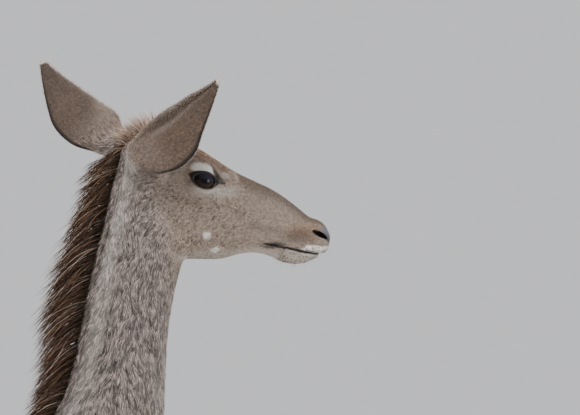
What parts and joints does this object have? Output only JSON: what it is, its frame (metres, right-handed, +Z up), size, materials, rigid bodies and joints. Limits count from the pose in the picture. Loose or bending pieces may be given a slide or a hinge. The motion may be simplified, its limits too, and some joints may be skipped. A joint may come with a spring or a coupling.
{
  "type": "greater kudu",
  "caption": "Life-size greater kudu cow, standing alert with raised head turned slightly left, ears spread, short upright mane, spinal crest and tufted tail.",
  "frame": {"origin": "on the floor, under the middle of the whole box", "axes": "+X the way the trunk faces, +Y the animal's left, +Z up; the soles stand at z = 0"},
  "size_m": [1.6432, 0.4122, 1.9453],
  "materials": {
    "coat": "short grey-brown hair, matt",
    "neck_coat": "short grey hair with a dark, rust-tipped mane, matt",
    "leg_coat": "short tan hair, matt",
    "ear_coat": "fine brown hair, dark at the rim, matt",
    "tail_coat": "brown hair with a black tip, matt",
    "hoof_horn": "black horn, satin",
    "eye": "wet, glossy, near black"
  },
  "bodies": {
    "root": {"head": "coat", "ear_right": "ear_coat", "ear_left": "ear_coat", "eye_right": "eye", "eye_left": "eye", "neck": "neck_coat", "torso": "coat", "tail": "tail_coat", "leg_front_right": "leg_coat", "leg_front_left": "leg_coat", "leg_hind_right": "leg_coat", "leg_hind_left": "leg_coat", "hoof_front_right_outer": "hoof_horn", "hoof_front_right_inner": "hoof_horn", "hoof_front_left_outer": "hoof_horn", "hoof_front_left_inner": "hoof_horn", "hoof_hind_right_outer": "hoof_horn", "hoof_hind_right_inner": "hoof_horn", "hoof_hind_left_outer": "hoof_horn", "hoof_hind_left_inner": "hoof_horn", "dewclaw_front_right_outer": "hoof_horn", "dewclaw_front_right_inner": "hoof_horn", "dewclaw_front_left_outer": "hoof_horn", "dewclaw_front_left_inner": "hoof_horn", "dewclaw_hind_right_outer": "hoof_horn", "dewclaw_hind_right_inner": "hoof_horn", "dewclaw_hind_left_outer": "hoof_horn", "dewclaw_hind_left_inner": "hoof_horn"}
  },
  "joints": []
}
